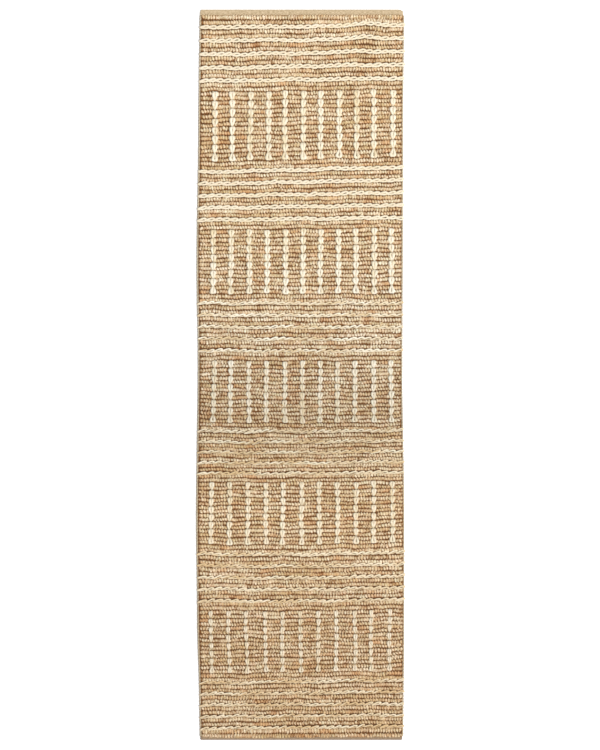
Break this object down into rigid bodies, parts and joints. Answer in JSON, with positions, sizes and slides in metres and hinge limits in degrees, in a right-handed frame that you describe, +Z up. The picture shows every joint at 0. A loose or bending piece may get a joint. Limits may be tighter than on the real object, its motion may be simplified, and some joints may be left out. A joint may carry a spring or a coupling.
{
  "type": "runner rug",
  "caption": "Long narrow flat-woven runner rug in chunky jute with bands of ivory braid lines and bands of ivory stitch columns, hemmed at both ends.",
  "frame": {"origin": "middle of the underside, on the floor", "axes": "+Y along the length towards the wider hem, +X across the width, +Z up through the thickness"},
  "size_m": [0.686, 2.4384, 0.0121],
  "materials": {
    "jute_yarn": "matt, hairy plied jute, straw to brown",
    "ivory_braid_yarn": "matt, soft bleached jute and cotton yarn, ivory",
    "ivory_stitch_yarn": "matt, soft bleached yarn, ivory",
    "hem_cloth": "matt, close flat weave, sand",
    "seam_thread": "matt sewing thread, sand",
    "selvedge_jute": "matt jute cord, grey-brown",
    "cotton_warp": "matt cotton cord, unbleached"
  },
  "bodies": {
    "root": {"stripe_1_jute_rows": "jute_yarn", "stripe_1_braid_1": "ivory_braid_yarn", "stripe_1_braid_2": "ivory_braid_yarn", "stripe_1_braid_3": "ivory_braid_yarn", "stripe_1_braid_4": "ivory_braid_yarn", "stripe_1_braid_5": "ivory_braid_yarn", "stripe_2_jute_rows": "jute_yarn", "stripe_2_braid_1": "ivory_braid_yarn", "stripe_2_braid_2": "ivory_braid_yarn", "stripe_2_braid_3": "ivory_braid_yarn", "stripe_2_braid_4": "ivory_braid_yarn", "stripe_2_braid_5": "ivory_braid_yarn", "stripe_3_jute_rows": "jute_yarn", "stripe_3_braid_1": "ivory_braid_yarn", "stripe_3_braid_2": "ivory_braid_yarn", "stripe_3_braid_3": "ivory_braid_yarn", "stripe_3_braid_4": "ivory_braid_yarn", "stripe_3_braid_5": "ivory_braid_yarn", "stripe_4_jute_rows": "jute_yarn", "stripe_4_braid_1": "ivory_braid_yarn", "stripe_4_braid_2": "ivory_braid_yarn", "stripe_4_braid_3": "ivory_braid_yarn", "stripe_4_braid_4": "ivory_braid_yarn", "stripe_4_braid_5": "ivory_braid_yarn", "stripe_5_jute_rows": "jute_yarn", "stripe_5_braid_1": "ivory_braid_yarn", "stripe_5_braid_2": "ivory_braid_yarn", "stripe_5_braid_3": "ivory_braid_yarn", "stripe_5_braid_4": "ivory_braid_yarn", "stripe_5_braid_5": "ivory_braid_yarn", "stripe_6_jute_rows": "jute_yarn", "stripe_6_braid_1": "ivory_braid_yarn", "stripe_6_braid_2": "ivory_braid_yarn", "stripe_6_braid_3": "ivory_braid_yarn", "stripe_6_braid_4": "ivory_braid_yarn", "stripe_6_braid_5": "ivory_braid_yarn", "panel_1_jute_rows": "jute_yarn", "panel_1_stitch_columns": "ivory_stitch_yarn", "panel_2_jute_rows": "jute_yarn", "panel_2_stitch_columns": "ivory_stitch_yarn", "panel_3_jute_rows": "jute_yarn", "panel_3_stitch_columns": "ivory_stitch_yarn", "panel_4_jute_rows": "jute_yarn", "panel_4_stitch_columns": "ivory_stitch_yarn", "panel_5_jute_rows": "jute_yarn", "panel_5_stitch_columns": "ivory_stitch_yarn", "top_hem": "hem_cloth", "top_hem_seam": "seam_thread", "end_hem": "hem_cloth", "end_hem_seam": "seam_thread", "left_selvedge": "selvedge_jute", "right_selvedge": "selvedge_jute", "warp_cords": "cotton_warp"}
  },
  "joints": []
}
